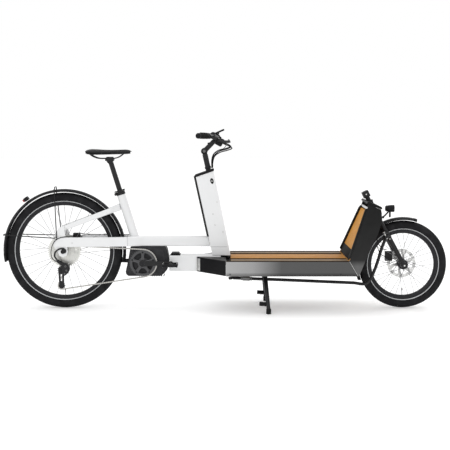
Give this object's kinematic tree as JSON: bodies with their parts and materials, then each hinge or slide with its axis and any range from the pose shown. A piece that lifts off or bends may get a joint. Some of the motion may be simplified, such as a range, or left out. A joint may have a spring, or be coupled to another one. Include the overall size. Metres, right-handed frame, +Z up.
{
  "type": "cargo bicycle",
  "caption": "Front-loading electric cargo bicycle: white frame and steering column, low wooden load deck with bulkhead ahead of the rider, small front wheel, folding stand.",
  "frame": {"origin": "on the ground, midway between the rear mudguard's tail and the front of the front tyre, on the bicycle's centre plane", "axes": "+X forward, +Y the rider's left, +Z up"},
  "size_m": [2.702, 0.7126, 1.0907],
  "materials": {
    "white_frame": "satin white paint",
    "black_frame": "satin black paint",
    "deck_panel": "metallic grey paint",
    "bulkhead_panel": "anthracite",
    "plywood": "oiled, orange brown",
    "motor_casing": "dark grey, textured",
    "black_plastic": "moulded",
    "black_metal": "black anodised",
    "saddle_cover": "synthetic leather",
    "rubber": "matt",
    "tyre": "matt, reflective ring",
    "bright_steel": "bright",
    "red_lens": "clear red"
  },
  "bodies": {
    "frame": {"main_beam": "white_frame", "chainstay_right": "white_frame", "chainstay_left": "white_frame", "seatstay_right": "white_frame", "seatstay_left": "white_frame", "seat_tube": "white_frame", "column_shell": "white_frame", "lower_box": "white_frame", "motor": "motor_casing", "head_tube": "black_frame", "deck_frame": "black_frame", "deck_board": "plywood", "deck_side_right": "deck_panel", "deck_side_left": "deck_panel", "deck_shoulder_right": "black_frame", "deck_shoulder_left": "black_frame", "bulkhead_board": "plywood", "bulkhead_side_right": "bulkhead_panel", "bulkhead_side_left": "bulkhead_panel", "bulkhead_cap": "bulkhead_panel", "rear_mudguard": "black_plastic", "mudguard_stays": "black_metal", "rear_light": "red_lens", "chain": "bright_steel", "rear_caliper": "black_metal", "derailleur": "black_metal", "rear_brake_hose": "rubber"},
    "seatpost": {"seatpost": "black_metal", "saddle": "saddle_cover"},
    "seat_lever": {"seat_lever": "black_metal"},
    "battery": {"battery": "black_plastic"},
    "steering": {"steering_shaft": "black_metal"},
    "cockpit": {"stem": "black_metal", "handlebar": "black_metal", "grip_right": "rubber", "grip_left": "rubber", "display": "black_plastic", "cockpit_cable": "rubber"},
    "brake_lever_right": {"brake_lever_right": "black_metal"},
    "brake_lever_left": {"brake_lever_left": "black_metal"},
    "tie_rod": {"tie_rod": "black_metal"},
    "fork": {"fork": "black_metal", "front_mudguard": "black_plastic", "front_caliper": "black_metal", "front_brake_hose": "rubber"},
    "headlight": {"headlight": "black_plastic"},
    "front_wheel": {"front_tyre": "tyre", "front_rim": "black_metal", "front_hub": "bright_steel"},
    "rear_wheel": {"rear_tyre": "tyre", "rear_rim": "black_metal", "rear_hub": "bright_steel"},
    "cassette": {"cassette": "bright_steel"},
    "crank": {"crankset": "black_metal", "crank_left": "black_metal"},
    "pedal_right": {"pedal_right": "black_plastic"},
    "pedal_left": {"pedal_left": "black_plastic"},
    "guide_pulley": {"guide_pulley": "black_plastic"},
    "tension_pulley": {"tension_pulley": "black_plastic"},
    "kickstand": {"kickstand": "black_metal"}
  },
  "joints": [
    {"name": "seatpost_slide", "type": "slide", "parent": "frame", "child": "seatpost", "axis": [-0.2964, 0, 0.9551], "range_m": [-0.14, 0.05]},
    {"name": "seat_lever_hinge", "type": "hinge", "parent": "frame", "child": "seat_lever", "pos_m": [-0.66333, -0.018, 0.7033], "axis": [0.2964, 0, -0.9551], "range_deg": [0, 120]},
    {"name": "battery_tilt", "type": "hinge", "parent": "frame", "child": "battery", "pos_m": [-0.10945, 0, 0.441], "axis": [0, -1, 0], "range_deg": [0, 18]},
    {"name": "fork_turn", "type": "hinge", "parent": "frame", "child": "fork", "pos_m": [1.06782, 0, 0.25911], "axis": [-0.4384, 0, 0.8988], "range_deg": [-25, 25], "deforming": ["front_brake_hose"]},
    {"name": "handlebar_turn", "type": "hinge", "parent": "frame", "child": "steering", "pos_m": [0.0398, 0, 0.198], "axis": [-0.213, 0, 0.977], "range_deg": [-25, 25]},
    {"name": "stem_tilt", "type": "hinge", "parent": "steering", "child": "cockpit", "pos_m": [-0.12526, 0, 0.95501], "axis": [0, 1, 0], "range_deg": [-15, 15], "deforming": ["cockpit_cable"]},
    {"name": "brake_lever_right_hinge", "type": "hinge", "parent": "cockpit", "child": "brake_lever_right", "pos_m": [-0.036, -0.188, 1.0215], "axis": [0, 0, -1], "range_deg": [0, 18], "stiffness_Nm_per_rad": 1.2, "springref_deg": -11.46},
    {"name": "brake_lever_left_hinge", "type": "hinge", "parent": "cockpit", "child": "brake_lever_left", "pos_m": [-0.036, 0.188, 1.0215], "axis": [0, 0, 1], "range_deg": [0, 18], "stiffness_Nm_per_rad": 1.2, "springref_deg": -11.46},
    {"name": "tie_rod_swing", "type": "hinge", "parent": "steering", "child": "tie_rod", "pos_m": [0.036, -0.1, 0.195], "axis": [-0.213, 0.0267, 0.9767], "range_deg": [-26, 26]},
    {"name": "headlight_tilt", "type": "hinge", "parent": "fork", "child": "headlight", "pos_m": [0.962, 0, 0.5535], "axis": [0, 1, 0], "range_deg": [-12, 12]},
    {"name": "front_wheel_spin", "type": "hinge", "parent": "fork", "child": "front_wheel", "pos_m": [1.084, 0, 0.267], "axis": [0, 1, 0], "continuous": true},
    {"name": "rear_wheel_spin", "type": "hinge", "parent": "frame", "child": "rear_wheel", "pos_m": [-0.977, 0, 0.352], "axis": [0, 1, 0], "continuous": true},
    {"name": "crank_spin", "type": "hinge", "parent": "frame", "child": "crank", "pos_m": [-0.498, 0, 0.279], "axis": [0, 1, 0], "continuous": true},
    {"name": "cassette_spin", "type": "hinge", "parent": "frame", "child": "cassette", "pos_m": [-0.977, 0, 0.352], "axis": [0, 1, 0], "continuous": true},
    {"name": "guide_pulley_spin", "type": "hinge", "parent": "frame", "child": "guide_pulley", "pos_m": [-0.994, -0.055, 0.241], "axis": [0, 1, 0], "continuous": true},
    {"name": "tension_pulley_spin", "type": "hinge", "parent": "frame", "child": "tension_pulley", "pos_m": [-0.991, -0.055, 0.142], "axis": [0, 1, 0], "continuous": true},
    {"name": "pedal_right_spin", "type": "hinge", "parent": "crank", "child": "pedal_right", "pos_m": [-0.328, 0, 0.279], "axis": [0, 1, 0], "continuous": true},
    {"name": "pedal_left_spin", "type": "hinge", "parent": "crank", "child": "pedal_left", "pos_m": [-0.668, 0, 0.279], "axis": [0, 1, 0], "continuous": true},
    {"name": "kickstand_fold", "type": "hinge", "parent": "frame", "child": "kickstand", "pos_m": [0.237, 0, 0.243], "axis": [0, 1, 0], "range_deg": [0, 78]}
  ],
  "couplings": [
    {"joint": "handlebar_turn", "follows": "fork_turn", "ratio": 1},
    {"joint": "tie_rod_swing", "follows": "fork_turn", "ratio": -1.0004},
    {"joint": "cassette_spin", "follows": "crank_spin", "ratio": 2.4706},
    {"joint": "guide_pulley_spin", "follows": "crank_spin", "ratio": -3.8182},
    {"joint": "tension_pulley_spin", "follows": "crank_spin", "ratio": 3.8182}
  ]
}
